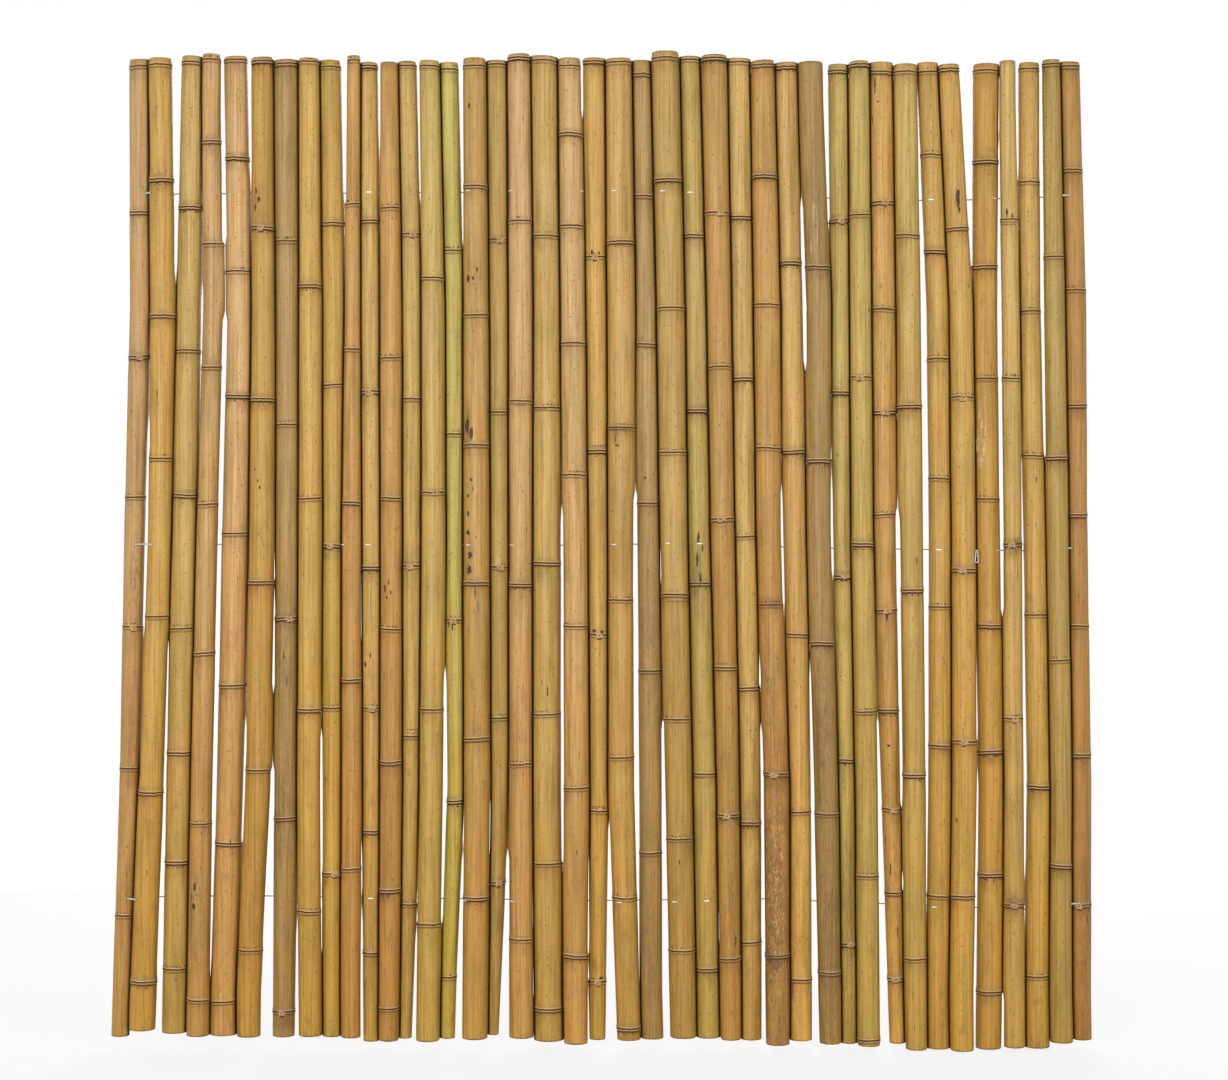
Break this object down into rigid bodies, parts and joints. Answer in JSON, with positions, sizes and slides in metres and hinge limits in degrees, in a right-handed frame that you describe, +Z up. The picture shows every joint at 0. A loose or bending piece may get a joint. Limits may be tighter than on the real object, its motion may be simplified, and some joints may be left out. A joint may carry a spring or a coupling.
{
  "type": "bamboo fence panel",
  "caption": "Square screen panel of natural bamboo poles standing side by side, threaded on three galvanised wires, for tying to posts or rails as a fence or privacy screen.",
  "frame": {"origin": "middle of the panel's box, on the level of the lowest foot", "axes": "+X along the panel from left to right, +Y from its front to its back, +Z up the poles"},
  "size_m": [1.7954, 0.0663, 1.821],
  "materials": {
    "bamboo_pink": "natural satin bamboo skin",
    "bamboo_gold": "natural satin bamboo skin",
    "bamboo_straw": "natural satin bamboo skin",
    "bamboo_grey": "natural satin bamboo skin",
    "bamboo_orange": "natural satin bamboo skin",
    "bamboo_tan": "natural satin bamboo skin",
    "bamboo_olive": "natural satin bamboo skin",
    "bamboo_green": "natural satin bamboo skin",
    "bamboo_amber": "natural satin bamboo skin",
    "galvanised_wire": "bright galvanised, slightly dulled"
  },
  "bodies": {
    "root": {"culm_01": "bamboo_pink", "culm_02": "bamboo_gold", "culm_03": "bamboo_straw", "culm_04": "bamboo_pink", "culm_05": "bamboo_pink", "culm_06": "bamboo_gold", "culm_07": "bamboo_grey", "culm_08": "bamboo_gold", "culm_09": "bamboo_gold", "culm_10": "bamboo_orange", "culm_11": "bamboo_tan", "culm_12": "bamboo_orange", "culm_13": "bamboo_straw", "culm_14": "bamboo_straw", "culm_15": "bamboo_green", "culm_16": "bamboo_tan", "culm_17": "bamboo_olive", "culm_18": "bamboo_pink", "culm_19": "bamboo_straw", "culm_20": "bamboo_pink", "culm_21": "bamboo_gold", "culm_22": "bamboo_tan", "culm_23": "bamboo_grey", "culm_24": "bamboo_straw", "culm_25": "bamboo_olive", "culm_26": "bamboo_tan", "culm_27": "bamboo_straw", "culm_28": "bamboo_orange", "culm_29": "bamboo_tan", "culm_30": "bamboo_grey", "culm_31": "bamboo_olive", "culm_32": "bamboo_olive", "culm_33": "bamboo_orange", "culm_34": "bamboo_straw", "culm_35": "bamboo_gold", "culm_36": "bamboo_gold", "culm_37": "bamboo_amber", "culm_38": "bamboo_straw", "culm_39": "bamboo_gold", "culm_40": "bamboo_olive", "culm_41": "bamboo_orange", "wire_top": "galvanised_wire", "wire_middle": "galvanised_wire", "wire_bottom": "galvanised_wire", "end_twist_top_left": "galvanised_wire", "end_twist_middle_left": "galvanised_wire", "end_twist_bottom_left": "galvanised_wire", "end_twist_top_right": "galvanised_wire", "end_twist_middle_right": "galvanised_wire", "end_twist_bottom_right": "galvanised_wire", "hanging_loop": "galvanised_wire", "staples": "galvanised_wire"}
  },
  "joints": []
}
